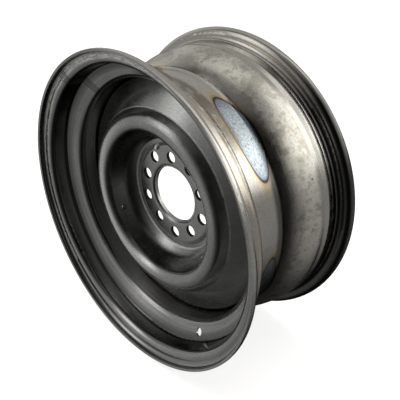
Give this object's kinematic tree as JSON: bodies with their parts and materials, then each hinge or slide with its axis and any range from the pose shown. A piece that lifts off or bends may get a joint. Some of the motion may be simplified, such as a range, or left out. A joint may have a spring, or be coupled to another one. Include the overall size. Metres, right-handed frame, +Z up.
{
  "type": "steel wheel rim",
  "caption": "Bare steel road wheel: a rolled drop-centre rim with curled flanges, and a pressed, bowl-shaped centre disc with a hub bore and bolt holes, welded inside it.",
  "frame": {"origin": "middle of the hub bore, in the plane where the disc seats on the hub", "axes": "+Y along the axle towards the vehicle, so the outer face looks to -Y; +Z up, as the wheel stands in the picture"},
  "size_m": [0.4402, 0.2038, 0.4402],
  "materials": {
    "rim": "bare steel, as rolled and pressed, oiled, with heat marks",
    "centre_disc": "bare steel, as rolled and pressed, oiled, with heat marks",
    "disc_welds": "bare weld metal, darkened by heat"
  },
  "bodies": {
    "root": {"rim": "rim", "centre_disc": "centre_disc", "disc_welds": "disc_welds"}
  },
  "joints": []
}
